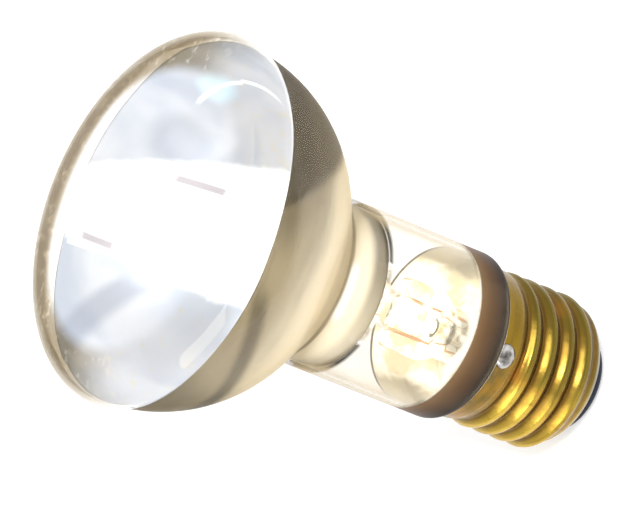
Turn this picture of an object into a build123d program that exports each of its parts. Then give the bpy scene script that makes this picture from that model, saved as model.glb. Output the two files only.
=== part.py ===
"""Halogen heat lamp: a mirrored reflector bulb on a screw cap, with a quartz burner on a wire frame.

Millimetres. The origin is the tip of the centre contact and +Z runs along the lamp's axis to its face.
The side solder faces +X, and the wire frame of the burner lies in the YZ plane.
"""
from build123d import *
from math import acos, asin, cos, degrees, radians, sin, sqrt
import os

# Glass bulb, outer surface
BULB_R = 31.5            # widest radius of the reflector
NECK_R = 14.3
NECK_LENGTH = 27.0       # straight part of the neck
WAIST_ARC_R = 9.6        # hollow arc between the neck and the reflector
FLANK_TURN = 50.0        # lean of the reflector's straight flank, in degrees from the axis
FLANK_LENGTH = 5.3
FACE_RISE = 8.3          # top of the face above the widest ring
SHOULDER_ARC_R = 5.3
THROAT_ARC_R = 1.7
TAIL_ARC_R = 1.3
GLASS_WALL = 0.9

# Mirror film on the inside of the bulb
FILM = 0.12
COAT_TOP_RISE = 0.2      # edge of the film above the widest ring
COAT_FOOT_DROP = 1.5     # foot of the film below the end of the straight neck

# Screw cap
RIM_Z = 25.6             # height of the whole cap
SHELL_FOOT_Z = 3.2
SHELL_WALL = 0.3
THREAD_CREST_R = 13.1
THREAD_DEPTH = 1.0
THREAD_PITCH = 3.629
KNUCKLE_R = 1.75         # rounding of each thread crest
THREAD_RUNOUT = 2.2      # length over which the thread rises from nothing
THREAD_TOP_Z = 21.4
THREAD_START = 180       # where round the cap the thread begins, in degrees
COLLAR_INSET = 0.2       # plain collar inside the thread's crests
COLLAR_FLARE_R = 1.5
END_ARC_R = 4.0
END_LIP = 0.1            # flat edge of the turned-in end
NOTCH_WIDTH = 0.8        # notch in the rim for the side lead
NOTCH_DEPTH = 1.6

# Insulator and centre contact
CONTACT_R = 4.8
CONTACT_FLAT_R = 2.6
CONTACT_THICK = 1.0
CONTACT_HOLE_R = 0.9
INSULATOR_TOP_Z = 7.0
INSULATOR_TIP_R = 5.6
SOLDER_TOP_Z = 1.6

# Where the glass sits in the cap
TAIL_DEPTH = 4.5         # how far the tail of the bulb reaches below the rim
NECK_FOOT_RISE = 1.8     # foot of the straight neck above the rim

# Stem
STEM_R = 4.6
STEM_WALL = 1.0
FLARE_ARC_R = 5.5
PRESS_FOOT_RISE = 4.0    # end of the stem tube above the rim
PRESS_BLEND = 3.0        # length over which the tube is pinched flat
PRESS_LENGTH = 7.0
PRESS_WIDTH = 12.0
PRESS_THICK = 3.6
EXHAUST_R = 1.7
EXHAUST_WALL = 0.6
EXHAUST_TIP_Z = 18.6

# Wires
LEAD_SPREAD = 2.8        # leads stand this far each side of the axis in the press
COPPER_R = 0.2
DUMET_R = 0.3
ROD_R = 0.5
SIDE_LEAD_Z = 19.0
SLEEVE_R = 1.1
SLEEVE_WALL = 0.6
SLEEVE_FOOT_Z = 12.6
SLEEVE_LENGTH = 5.5
FRAME_REACH = 8.6        # long rod's distance from the axis
FRAME_BEND_R = 2.4
FRAME_FOOT_RISE = 2.0    # straight run of each rod above the press
FRAME_SLOPE_RISE = 6.5   # height over which the long rod leans out
FRAME_TOP_RISE = 3.0     # cross run of the long rod above the burner

# Burner
BURNER_FOOT_RISE = 8.9   # foot of the burner above the press
BURNER_R = 5.0
BURNER_WALL = 0.9
BURNER_BODY = 21.0
PINCH_BLEND = 2.5
PINCH_LENGTH = 6.0
PINCH_WIDTH = 8.0
PINCH_THICK = 2.8
BORE_ARC_R = 2.0         # rounding at the ends of the burner's bore
TIP_R = 1.1              # sealed filling tip on the side of the burner
FOIL_WIDTH = 3.0
FOIL_LENGTH = 3.4
FOIL_THICK = 0.1
PIN_R = 0.4
PIN_DEPTH = 1.6          # how far each pin goes into its pinch
PIN_REACH = 4.2          # how far each pin stands out of its pinch

# Filament
COIL_R = 1.2
COIL_WIRE_R = 0.22
COIL_PITCH = 1.25
COIL_TURNS = 11
LEG_JOG = 1.4            # length over which the wire comes in to the axis
SUPPORT_WIRE_R = 0.15
SUPPORT_SPREAD = 4.4     # each support ring's distance from the middle of the coil

# Solder on the rim
SIDE_SOLDER = (1.1, 2.1, 1.9)

# Clearances
SEAT_GAP = 0.03          # between pieces that are seated or fused together
LEAD_GAP = 0.1           # each side of the side lead where it runs up between glass and shell
BOOLEAN_REACH = 1.0      # cutting pieces stand out by this much


def arc_turn(rise, radius_a, radius_b):
    """Degrees that two equal and opposite arcs turn while they move sideways by rise."""
    return degrees(acos(1 - rise / (radius_a + radius_b)))


def arc_height(turn, radius_a, radius_b):
    """Height of such a pair of arcs."""
    return (radius_a + radius_b) * sin(radians(turn))


def jog(rise, first, second):
    """Turn, straight run and height of two opposite arcs that move sideways by rise.

    The run lies between the arcs, and is there only where rise is more than the two radii.
    """
    run = max(rise - first - second, 0)
    turn = arc_turn(rise - run, first, second)
    return turn, run, arc_height(turn, first, second)


# Outline of the bulb, worked out from the sizes above
THREAD_ROOT_R = THREAD_CREST_R - THREAD_DEPTH
COLLAR_WALL_R = THREAD_CREST_R - COLLAR_INSET
END_OPENING_R = THREAD_ROOT_R - END_ARC_R - END_LIP
SIDE_LEAD_R = THREAD_ROOT_R - SHELL_WALL - LEAD_GAP - COPPER_R
TAIL_R = SIDE_LEAD_R - COPPER_R - LEAD_GAP
THROAT_TURN, THROAT_RUN, THROAT_HEIGHT = jog(NECK_R - TAIL_R, THROAT_ARC_R, TAIL_ARC_R)
FLANK_SIN, FLANK_COS = sin(radians(FLANK_TURN)), cos(radians(FLANK_TURN))
FLANK_TOP_R = NECK_R + WAIST_ARC_R * (1 - FLANK_COS) + FLANK_LENGTH * FLANK_SIN
BOWL_ARC_R = (BULB_R - FLANK_TOP_R) / (1 - FLANK_COS)
FACE_ARC_R = ((BULB_R - SHOULDER_ARC_R) ** 2 + FACE_RISE ** 2 - SHOULDER_ARC_R ** 2) / (
    2 * (FACE_RISE - SHOULDER_ARC_R))
FACE_TURN = degrees(asin((BULB_R - SHOULDER_ARC_R) / (FACE_ARC_R - SHOULDER_ARC_R)))
TAIL_Z = RIM_Z - TAIL_DEPTH
NECK_FOOT_Z = RIM_Z + NECK_FOOT_RISE
TAIL_LENGTH = NECK_FOOT_Z - THROAT_HEIGHT - TAIL_Z
NECK_TOP_Z = NECK_FOOT_Z + NECK_LENGTH
EQUATOR_Z = NECK_TOP_Z + (WAIST_ARC_R + BOWL_ARC_R) * FLANK_SIN + FLANK_LENGTH * FLANK_COS

# Heights of the inner pieces
FLARE_TURN = arc_turn(COLLAR_WALL_R - THREAD_ROOT_R, COLLAR_FLARE_R, COLLAR_FLARE_R)
PRESS_FOOT_Z = RIM_Z + PRESS_FOOT_RISE
PRESS_TOP_Z = PRESS_FOOT_Z + PRESS_BLEND + PRESS_LENGTH
BURNER_FOOT_Z = PRESS_TOP_Z + BURNER_FOOT_RISE
BURNER_MIDDLE_Z = BURNER_FOOT_Z + PINCH_LENGTH + PINCH_BLEND + BURNER_BODY / 2
BURNER_TOP_Z = 2 * BURNER_MIDDLE_Z - BURNER_FOOT_Z
BURNER_BORE_R = BURNER_R - BURNER_WALL


def outline(start, heading, steps):
    """Tangent chain of arcs and runs: each step is (radius, turn), or (length, 0) for a straight run."""
    edges = []
    point, direction = Vector(*start), Vector(*heading)
    for size, turn in steps:
        edge = JernArc(point, direction, size, turn) if turn else Line(point, point + direction * size)
        point, direction = edge @ 1, edge % 1
        edges.append(edge)
    return edges


def turned(edges):
    """Solid of revolution of an outline that is closed along the lamp's axis."""
    first, last = edges[0] @ 0, edges[-1] @ 1
    corners = [last, Vector(0, last.Y), Vector(0, first.Y), first]
    closing = [Line(a, b) for a, b in zip(corners, corners[1:]) if (b - a).length > SEAT_GAP]
    return revolve(Plane.XZ * make_face(Curve() + edges + closing), Axis.Z)


def tube(radius, foot, length):
    """Upright round bar on the axis."""
    return Pos(0, 0, foot) * Cylinder(radius, length, align=(Align.CENTER, Align.CENTER, Align.MIN))


def wire(points, radius, bends):
    """Round wire along straight runs joined by tangent bends, one bend radius for each corner."""
    path = FilletPolyline(*points, radius=bends)
    return sweep(Plane(origin=path @ 0, z_dir=path % 0) * Circle(radius), path=path)


def bulb_form(inset):
    """Solid inside the bulb's surface moved inwards by inset, with every arc on its own centre."""
    throat_run = [(THROAT_RUN, 0)] if THROAT_RUN else []
    return turned(outline((TAIL_R - inset, TAIL_Z), (0, 1), [
        (TAIL_LENGTH, 0),
        (TAIL_ARC_R + inset, -THROAT_TURN),
        *throat_run,
        (THROAT_ARC_R - inset, THROAT_TURN),
        (NECK_LENGTH, 0),
        (WAIST_ARC_R + inset, -FLANK_TURN),
        (FLANK_LENGTH, 0),
        (BOWL_ARC_R - inset, FLANK_TURN),
        (SHOULDER_ARC_R - inset, 90 - FACE_TURN),
        (FACE_ARC_R - inset, FACE_TURN),
    ]))


def glass_bulb():
    """Blown bulb: neck, reflector and domed face in one wall, open at the tail."""
    return bulb_form(0) - bulb_form(GLASS_WALL)


def mirror_film():
    """Film on the inner surface, from the end of the neck to just past the widest ring."""
    foot = NECK_TOP_Z - COAT_FOOT_DROP
    band = tube(BULB_R, foot, EQUATOR_Z + COAT_TOP_RISE - foot)
    return (bulb_form(GLASS_WALL + SEAT_GAP) - bulb_form(GLASS_WALL + SEAT_GAP + FILM)) & band


def thread_bead(inset):
    """Helical bead with a round crest, cut back at both ends so that it rises from nothing."""
    centre = THREAD_CREST_R - KNUCKLE_R
    radius = KNUCKLE_R - inset
    foot = SHELL_FOOT_Z + END_ARC_R - KNUCKLE_R / 2
    top = THREAD_TOP_Z - KNUCKLE_R / 2
    root = THREAD_ROOT_R - inset - SHELL_WALL - centre
    half = sqrt(radius ** 2 - root ** 2)
    helix = Helix(THREAD_PITCH, top - foot, centre, center=(0, 0, foot))
    crest = ThreePointArc((root, -half), (radius, 0), (root, half))
    section = make_face(Curve() + [crest, Line(crest @ 1, crest @ 0)])
    bead = sweep(Plane(origin=helix @ 0, x_dir=(1, 0, 0), z_dir=helix % 0) * section,
                 path=helix, is_frenet=True)
    low, high, core = foot - KNUCKLE_R, top + KNUCKLE_R, centre / 2
    limit = Polyline((core, low), (THREAD_ROOT_R - inset, low),
                     (THREAD_CREST_R + SHELL_WALL, low + THREAD_RUNOUT),
                     (THREAD_CREST_R + SHELL_WALL, high - THREAD_RUNOUT),
                     (THREAD_ROOT_R - inset, high), (core, high), close=True)
    return Rot(0, 0, THREAD_START) * (bead & revolve(Plane.XZ * make_face(limit), Axis.Z))


def shell_form(inset, threaded):
    """Solid inside the cap's surface moved inwards by inset, with or without its rolled thread."""
    straight = THREAD_TOP_Z - SHELL_FOOT_Z - END_ARC_R
    flare = arc_height(FLARE_TURN, COLLAR_FLARE_R, COLLAR_FLARE_R)
    form = turned(outline((END_OPENING_R, SHELL_FOOT_Z + inset), (1, 0), [
        (END_LIP, 0),
        (END_ARC_R - inset, 90),
        (straight, 0),
        (COLLAR_FLARE_R + inset, -FLARE_TURN),
        (COLLAR_FLARE_R - inset, FLARE_TURN),
        (RIM_Z - THREAD_TOP_Z - flare, 0),
    ]))
    return form + thread_bead(inset) if threaded else form


def screw_shell():
    """Brass shell: rolled knuckle thread, plain collar, turned-in end and a notch for the side lead."""
    notch = Pos(COLLAR_WALL_R, 0, RIM_Z) * Box(2 * BOOLEAN_REACH, NOTCH_WIDTH, 2 * NOTCH_DEPTH)
    opening = tube(END_OPENING_R, SHELL_FOOT_Z - BOOLEAN_REACH, 2 * BOOLEAN_REACH)
    return shell_form(0, True) - shell_form(SHELL_WALL, True) - opening - notch


def insulator():
    """Black glass that fills the turned-in end and tapers down to the centre contact."""
    inside = shell_form(SHELL_WALL + SEAT_GAP, False) & tube(BULB_R, 0, INSULATOR_TOP_Z)
    tip = Polyline((0, CONTACT_THICK), (INSULATOR_TIP_R, CONTACT_THICK),
                   (END_OPENING_R - SEAT_GAP, SHELL_FOOT_Z),
                   (END_OPENING_R - SEAT_GAP, SHELL_FOOT_Z + SHELL_WALL + SEAT_GAP),
                   (0, SHELL_FOOT_Z + SHELL_WALL + SEAT_GAP), close=True)
    hole = tube(CONTACT_HOLE_R, 0, INSULATOR_TOP_Z + BOOLEAN_REACH)
    return inside + revolve(Plane.XZ * make_face(tip), Axis.Z) - hole


def centre_contact():
    """Dished plate with a flat tip, face to face with the insulator, and an eyelet for the lead."""
    plate = Polyline((0, 0), (CONTACT_FLAT_R, 0), (CONTACT_R, CONTACT_THICK / 2),
                     (CONTACT_R, CONTACT_THICK), (0, CONTACT_THICK), close=True)
    return revolve(Plane.XZ * make_face(plate), Axis.Z) - tube(CONTACT_HOLE_R, 0, CONTACT_THICK)


def centre_solder():
    """Plug of solder in the eyelet, flush with the flat tip."""
    return tube(CONTACT_HOLE_R - SEAT_GAP, 0, SOLDER_TOP_Z)


def side_lead_points():
    """Route of the side lead: down the stem, out under the flare, up the wall and out of the notch."""
    exit_z = RIM_Z - NOTCH_DEPTH + COPPER_R + LEAD_GAP
    return [(0, -LEAD_SPREAD, PRESS_FOOT_Z + PRESS_BLEND), (0, -LEAD_SPREAD, SIDE_LEAD_Z),
            (SIDE_LEAD_R, 0, SIDE_LEAD_Z), (SIDE_LEAD_R, 0, exit_z), (COLLAR_WALL_R, 0, exit_z)]


def side_lead():
    """Copper lead to the solder on the rim."""
    return wire(side_lead_points(), COPPER_R, [2 * ROD_R, 2 * ROD_R, COPPER_R + SEAT_GAP])


def side_solder():
    """Lump of solder on the outside of the rim, over the end of the side lead."""
    lump = Pos(COLLAR_WALL_R, 0, RIM_Z - SIDE_SOLDER[2] / 2) * scale(Sphere(1), by=SIDE_SOLDER)
    return lump - tube(COLLAR_WALL_R + SEAT_GAP, 0, NECK_FOOT_Z) - bulb_form(-SEAT_GAP)


def cement():
    """Ring of cement between the tail of the bulb and the shell, with a way for the side lead."""
    ring = shell_form(SHELL_WALL + SEAT_GAP, False) & tube(BULB_R, TAIL_Z, TAIL_DEPTH - SEAT_GAP)
    groove = Pos(COLLAR_WALL_R, 0, RIM_Z) * Box(2 * (COLLAR_WALL_R - TAIL_R), NOTCH_WIDTH, 4 * TAIL_DEPTH)
    return ring - bulb_form(-SEAT_GAP) - groove


def stem():
    """Glass stem: a flared foot that closes the tail, a tube, and a flat press round the leads."""
    run = TAIL_R - FLARE_ARC_R - STEM_R
    foot_z = TAIL_Z - SEAT_GAP
    rise = PRESS_FOOT_Z - foot_z - FLARE_ARC_R

    def trumpet(inset):
        return turned(outline((TAIL_R, foot_z - inset), (-1, 0), [
            (run, 0), (FLARE_ARC_R + inset, -90), (rise + inset, 0)]))

    flange = tube(TAIL_R, foot_z - STEM_WALL, STEM_WALL)
    blank = trumpet(0) + flange - (trumpet(STEM_WALL) - tube(BULB_R, PRESS_FOOT_Z, STEM_WALL))
    foot = Plane.XY.offset(PRESS_FOOT_Z) * Circle(STEM_R)
    flat = RectangleRounded(PRESS_THICK, PRESS_WIDTH, PRESS_THICK / 3)
    pinch = loft([foot, Plane.XY.offset(PRESS_FOOT_Z + PRESS_BLEND) * flat])
    press = extrude(Plane.XY.offset(PRESS_FOOT_Z + PRESS_BLEND) * flat, PRESS_LENGTH)
    hollow = tube(STEM_R - STEM_WALL, PRESS_FOOT_Z - BOOLEAN_REACH, BOOLEAN_REACH + PRESS_BLEND / 2)
    glass = blank + pinch + press - hollow
    for side in (-1, 1):
        glass -= Pos(0, side * LEAD_SPREAD, 0) * tube(DUMET_R + SEAT_GAP, PRESS_FOOT_Z, BURNER_TOP_Z)
    return glass


def exhaust_tube():
    """Thin tube inside the stem, fused to the press above and sealed with a round tip below."""
    top = PRESS_FOOT_Z + PRESS_BLEND / 2
    foot = EXHAUST_TIP_Z + EXHAUST_R
    outside = tube(EXHAUST_R, foot, top - foot) + Pos(0, 0, foot) * Sphere(EXHAUST_R)
    bore_r = EXHAUST_R - EXHAUST_WALL
    return outside - tube(bore_r, foot, top - foot) - Pos(0, 0, foot) * Sphere(bore_r)


def centre_lead():
    """Copper lead from the press down to the solder in the centre contact."""
    bend_z = SLEEVE_FOOT_Z - 2 * ROD_R
    return wire([(0, LEAD_SPREAD, PRESS_FOOT_Z + PRESS_BLEND), (0, LEAD_SPREAD, bend_z),
                 (0, 0, bend_z - LEAD_SPREAD), (0, 0, SOLDER_TOP_Z)], COPPER_R, [2 * ROD_R, 2 * ROD_R])


def fuse_sleeve():
    """Glass sleeve round the thin stretch of the centre lead."""
    sleeve = tube(SLEEVE_R, SLEEVE_FOOT_Z, SLEEVE_LENGTH)
    return Pos(0, LEAD_SPREAD, 0) * (sleeve - tube(SLEEVE_R - SLEEVE_WALL, SLEEVE_FOOT_Z, SLEEVE_LENGTH))


def dumet_seal(side):
    """Short wire that the press is melted round, between a copper lead and a support rod."""
    foot = PRESS_FOOT_Z + PRESS_BLEND
    return Pos(0, side * LEAD_SPREAD, 0) * tube(DUMET_R, foot, PRESS_TOP_Z - foot)


def long_rod():
    """Frame rod that leans out, runs up beside the burner and bends over to its upper pin."""
    lean_z = PRESS_TOP_Z + FRAME_FOOT_RISE
    top_z = BURNER_TOP_Z + FRAME_TOP_RISE
    return wire([(0, LEAD_SPREAD, PRESS_TOP_Z), (0, LEAD_SPREAD, lean_z),
                 (0, FRAME_REACH, lean_z + FRAME_SLOPE_RISE), (0, FRAME_REACH, top_z),
                 (0, PIN_R + SEAT_GAP, top_z)], ROD_R, [FRAME_BEND_R / 2, FRAME_BEND_R, FRAME_BEND_R])


def short_rod():
    """Frame rod that comes in to the burner's lower pin and lies beside it."""
    beside = ROD_R + PIN_R + SEAT_GAP
    lean_z = PRESS_TOP_Z + FRAME_FOOT_RISE / 2
    return wire([(0, -LEAD_SPREAD, PRESS_TOP_Z), (0, -LEAD_SPREAD, lean_z),
                 (0, -beside, lean_z + LEAD_SPREAD), (0, -beside, BURNER_FOOT_Z - ROD_R)],
                ROD_R, [ROD_R, ROD_R])


def end_pieces(piece):
    """The piece at the burner's foot and its copy, turned end for end, at the top."""
    middle = Pos(0, 0, BURNER_MIDDLE_Z)
    return piece, middle * Rot(180, 0, 0) * middle.inverse() * piece


def burner_tube():
    """Quartz tube with a flat pinch at each end, a sealed filling tip and room for what it holds."""
    body_foot = BURNER_FOOT_Z + PINCH_LENGTH + PINCH_BLEND
    flat = RectangleRounded(PINCH_THICK, PINCH_WIDTH, PINCH_THICK / 3)
    pinch = extrude(Plane.XY.offset(BURNER_FOOT_Z) * flat, PINCH_LENGTH)
    blend = loft([Plane.XY.offset(BURNER_FOOT_Z + PINCH_LENGTH) * flat,
                  Plane.XY.offset(body_foot) * Circle(BURNER_R)])
    foil_slot = Pos(0, 0, BURNER_FOOT_Z + PIN_DEPTH) * Box(
        FOIL_THICK + 2 * SEAT_GAP, FOIL_WIDTH + 2 * SEAT_GAP, FOIL_LENGTH,
        align=(Align.CENTER, Align.CENTER, Align.MIN))
    pin_hole = tube(PIN_R + SEAT_GAP, BURNER_FOOT_Z, PIN_DEPTH)
    leg_hole = tube(COIL_WIRE_R + SEAT_GAP, BURNER_FOOT_Z + PIN_DEPTH, body_foot - BURNER_FOOT_Z)
    glass = tube(BURNER_R, body_foot, BURNER_BODY)
    for piece in end_pieces(pinch + blend):
        glass += piece
    tip = Pos(0, -BURNER_R, BURNER_MIDDLE_Z) * Rot(90, 0, 0) * Cone(TIP_R, TIP_R / 2, 2 * TIP_R)
    flat_end, round_end = BURNER_BORE_R - BORE_ARC_R, (BORE_ARC_R, 90)
    bore = turned(outline((0, body_foot), (1, 0), [
        (flat_end, 0), round_end, (BURNER_BODY - 2 * BORE_ARC_R, 0), round_end, (flat_end, 0)]))
    glass = glass + tip - bore
    for piece in end_pieces(foil_slot + pin_hole + leg_hole):
        glass -= piece
    return glass


def foils():
    """Thin molybdenum foil in each pinch."""
    foil = Pos(0, 0, BURNER_FOOT_Z + PIN_DEPTH) * Box(FOIL_THICK, FOIL_WIDTH, FOIL_LENGTH,
                                                      align=(Align.CENTER, Align.CENTER, Align.MIN))
    return end_pieces(foil)


def pins():
    """Straight pin from each foil out to the frame."""
    return end_pieces(tube(PIN_R, BURNER_FOOT_Z - PIN_REACH, PIN_REACH + PIN_DEPTH))


def filament():
    """Coiled tungsten wire whose two ends come in to the axis and run to the foils."""
    length = COIL_PITCH * COIL_TURNS
    foot = BURNER_MIDDLE_Z - length / 2
    helix = Helix(COIL_PITCH, length, COIL_R, center=(0, 0, foot))
    coil = sweep(Plane(origin=helix @ 0, z_dir=helix % 0) * Circle(COIL_WIRE_R), path=helix,
                 is_frenet=True)
    foil_top = BURNER_FOOT_Z + PIN_DEPTH + FOIL_LENGTH
    leg = wire([(COIL_R, 0, foot), (0, 0, foot - LEG_JOG), (0, 0, foil_top)], COIL_WIRE_R,
               [LEG_JOG / 2])
    low_leg = leg + Pos(COIL_R, 0, foot) * Sphere(COIL_WIRE_R)
    middle = Pos(0, 0, BURNER_MIDDLE_Z)
    high_leg = middle * Rot(180, 0, 0) * middle.inverse() * low_leg
    return coil + low_leg + high_leg


def filament_support(side):
    """Wire ring against the quartz with a spoke in to the coil."""
    ring_r = BURNER_BORE_R - SUPPORT_WIRE_R - SEAT_GAP
    spoke_foot = COIL_R + COIL_WIRE_R + SEAT_GAP
    spoke = Pos(0, -spoke_foot, 0) * Rot(90, 0, 0) * tube(SUPPORT_WIRE_R, 0, ring_r - spoke_foot)
    return Pos(0, 0, BURNER_MIDDLE_Z + side * SUPPORT_SPREAD) * (Torus(ring_r, SUPPORT_WIRE_R) + spoke)


def lamp():
    """Every piece of the lamp by the name of its node."""
    lower_foil, upper_foil = foils()
    lower_pin, upper_pin = pins()
    return {
        "glass_bulb": glass_bulb(),
        "mirror_film": mirror_film(),
        "screw_shell": screw_shell(),
        "cap_insulator": insulator(),
        "centre_contact": centre_contact(),
        "centre_solder": centre_solder(),
        "side_solder": side_solder(),
        "cap_cement": cement(),
        "stem": stem(),
        "exhaust_tube": exhaust_tube(),
        "side_lead": side_lead(),
        "centre_lead": centre_lead(),
        "fuse_sleeve": fuse_sleeve(),
        "dumet_seal_side": dumet_seal(-1),
        "dumet_seal_centre": dumet_seal(1),
        "frame_rod_long": long_rod(),
        "frame_rod_short": short_rod(),
        "burner_tube": burner_tube(),
        "burner_foil_lower": lower_foil,
        "burner_foil_upper": upper_foil,
        "burner_pin_lower": lower_pin,
        "burner_pin_upper": upper_pin,
        "filament": filament(),
        "filament_support_lower": filament_support(-1),
        "filament_support_upper": filament_support(1),
    }


os.makedirs("parts", exist_ok=True)
for name, piece in lamp().items():
    export_step(piece, f"parts/{name}.step")
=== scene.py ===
from math import acos, asin, cos, degrees, pi, radians, sin, sqrt

import bmesh
import bpy
import numpy as np
from mathutils import Matrix, Vector


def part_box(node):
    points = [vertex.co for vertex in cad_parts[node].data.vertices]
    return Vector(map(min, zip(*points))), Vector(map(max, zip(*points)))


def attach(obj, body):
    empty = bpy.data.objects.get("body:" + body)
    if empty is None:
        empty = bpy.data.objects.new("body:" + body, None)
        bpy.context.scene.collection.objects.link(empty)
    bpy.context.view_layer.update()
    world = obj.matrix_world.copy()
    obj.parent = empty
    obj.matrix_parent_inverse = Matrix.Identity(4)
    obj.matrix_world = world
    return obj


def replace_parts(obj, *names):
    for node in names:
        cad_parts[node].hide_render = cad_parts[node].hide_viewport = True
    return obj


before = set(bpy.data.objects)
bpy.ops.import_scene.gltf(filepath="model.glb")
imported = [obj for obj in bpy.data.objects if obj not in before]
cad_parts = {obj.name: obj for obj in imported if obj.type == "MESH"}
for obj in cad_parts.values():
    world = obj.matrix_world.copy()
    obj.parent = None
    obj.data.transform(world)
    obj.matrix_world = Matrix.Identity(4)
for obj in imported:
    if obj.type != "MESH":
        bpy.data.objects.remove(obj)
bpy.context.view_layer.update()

# Sizes in millimetres; Blender's own unit is the metre
MM = 0.001
PICTURE_WIDTH, PICTURE_HEIGHT = 633, 521
SENSOR = 36.0

# The camera: a long lens that looks down on the lamp, turned so that the face points up to the left
LENS_PIXELS = 9000.0
CAMERA_HEIGHT_ANGLE = 34.2
CAMERA_ROLL = 67.94
CAMERA_DISTANCE = 1474.2
CAMERA_NEAR, CAMERA_FAR = 50.0, 20000.0
TIP_IN_PICTURE = (575.8, 384.8)

# Glass bulb, outer surface, as the lamp's maker would give it
BULB_R = 31.5
NECK_R = 14.3
NECK_LENGTH = 27.0
WAIST_ARC, FLANK_TURN, FLANK_LENGTH = 9.6, 50.0, 5.3
FACE_RISE, SHOULDER_ARC = 8.3, 5.3
THROAT_ARC, TAIL_ARC, THROAT_RUN = 1.7, 1.3, 0.1
GLASS_WALL = 0.9
TAIL_DEPTH, NECK_FOOT_RISE = 4.5, 1.8
TAIL_R = 11.2
BAND_TOP = 32.7

# Mirror film; each wave of its edges is a count round the bulb, a height and a phase
FILM = 0.1
FILM_GAP = 0.04
COAT_TOP_RISE, COAT_FOOT_DROP = 0.2, 3.0
COAT_TILT = 1.0
COAT_TOP_WAVES = ((3, 0.10, 1.0), (7, 0.07, 0.0))
COAT_FOOT_WAVES = ((2, 0.15, 0.6),)

# Screw cap; the thread fades in from a little below its foot, and out to a little above its top,
# and the collar's flare starts just below the top
CREST_R, THREAD_DEPTH, THREAD_PITCH = 13.1, 1.0, 3.629
SHELL_FOOT, SHELL_WALL = 3.2, 0.3
THREAD_FOOT, THREAD_TOP, THREAD_PHASE = 6.3, 20.5, 8.14
THREAD_FULLNESS = 0.8
FADE_IN_START, FADE_IN = 1.6, 3.0
FADE_OUT_END, FADE_OUT = 1.4, 2.4
COLLAR_START, COLLAR_FLARE = 0.2, 2.6
CAP_COLLAR_R, END_ARC, END_OPENING_R = 12.9, 4.0, 8.0

# Insulator of the cap
FLANGE_REACH, FLANGE_ROUND, FLANGE_GAP = 0.6, 1.5, 0.05
INSULATOR_CLEARANCE, INSULATOR_EDGE = 1.2, 0.4
INSULATOR_BORE_R, INSULATOR_RECESS = 2.0, 0.3
CONTACT_OVERLAP, SMALL_GAP = 0.4, 0.1

# Stem, frame and burner
STEM_R, STEM_WALL, FLARE_ARC = 4.6, 1.0, 5.5
PRESS_FOOT_RISE, PRESS_BLEND, BORE_DOME = 4.0, 3.0, 1.5
PRESS_WIDTH, PRESS_THICK, PRESS_ROUND = 12.0, 3.6, 0.8
ROD_R, LEAD_SPREAD, FRAME_REACH = 0.5, 2.8, 8.6
ROD_FOOT, ROD_LEAN, ROD_OVER_BURNER, ROD_END = 2.0, 6.5, 3.0, 0.43
ROD_BENDS = (1.2, 2.4, 2.4)
BURNER_R, BURNER_BODY = 5.0, 21.0
PINCH_BLEND, PINCH_LENGTH, PINCH_WIDTH, PINCH_THICK = 2.5, 6.0, 8.0, 2.8
PINCH_END = 0.5
PINCH_ROUND = ((0.2, 0.1), (0.0, 0.4))

# Powers of a superellipse that is a circle, and of one that is nearly a rectangle
CIRCLE, FLAT = 2.0, 5.0

# Light: how bright matt surfaces see the white sky; place, aim, width and watts of each lamp; the floor
SKY_ON_MATT = 0.55
LAMPS = {
    "key": ((700, 500, 900), (0, 0, 60), 600, 8.0),
    "glint": ((620, 90, 560), (0, 0, 15), 110, 3.4),
    "fill": ((500, -800, 500), (0, 0, 50), 700, 5.0),
}
FLOOR_HALF, FLOOR_DEPTH = 4000.0, 0.2
FLOOR_TONE, FLOOR_GLOW = (0.80, 0.80, 0.80), 0.45
BLACK, WHITE = (0.0, 0.0, 0.0), (1.0, 1.0, 1.0)

# Steps of the worked-out surfaces
AROUND, BAR_AROUND, WIRE_AROUND = 256, 96, 16
DEGREES_PER_STEP = 3.0
FILM_ROWS, END_ROWS, SHELL_ROWS = 160, 20, 200
BEND_STEPS, BLEND_STEPS, RUN_STEPS, DOME_STEPS, PINCH_STEPS = 8, 9, 5, 8, 4
ROUND_SHARES = (0.4, 0.7, 0.9, 1.0)
BODY_ROW_START = 0.3

# The half width that stands for a point, and how close together points are joined, in metres
POLE_R = 1e-9
MERGE_DISTANCE = 1e-7


def box_mm(node):
    """Lowest and highest corner of a piece of the frame, in millimetres."""
    low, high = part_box(node)
    return np.array(low) / MM, np.array(high) / MM


RIM = box_mm("screw_shell")[1][2]
PRESS_TOP = box_mm("stem")[1][2]
BURNER_FOOT, BURNER_TOP = (corner[2] for corner in box_mm("burner_tube"))
BURNER_MIDDLE = (BURNER_FOOT + BURNER_TOP) / 2

FLANK_LEAN = radians(FLANK_TURN)
FLANK_TOP_R = NECK_R + WAIST_ARC * (1 - cos(FLANK_LEAN)) + FLANK_LENGTH * sin(FLANK_LEAN)
BOWL_ARC = (BULB_R - FLANK_TOP_R) / (1 - cos(FLANK_LEAN))
FACE_ARC = ((BULB_R - SHOULDER_ARC) ** 2 + FACE_RISE ** 2 - SHOULDER_ARC ** 2) / (
    2 * (FACE_RISE - SHOULDER_ARC))
FACE_TURN = degrees(asin((BULB_R - SHOULDER_ARC) / (FACE_ARC - SHOULDER_ARC)))
TAIL_Z = RIM - TAIL_DEPTH
NECK_FOOT = RIM + NECK_FOOT_RISE
NECK_TOP = NECK_FOOT + NECK_LENGTH
COAT_FOOT = NECK_TOP - COAT_FOOT_DROP
EQUATOR = NECK_TOP + (WAIST_ARC + BOWL_ARC) * sin(FLANK_LEAN) + FLANK_LENGTH * cos(FLANK_LEAN)
THREAD_ROOT_R = CREST_R - THREAD_DEPTH


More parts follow.
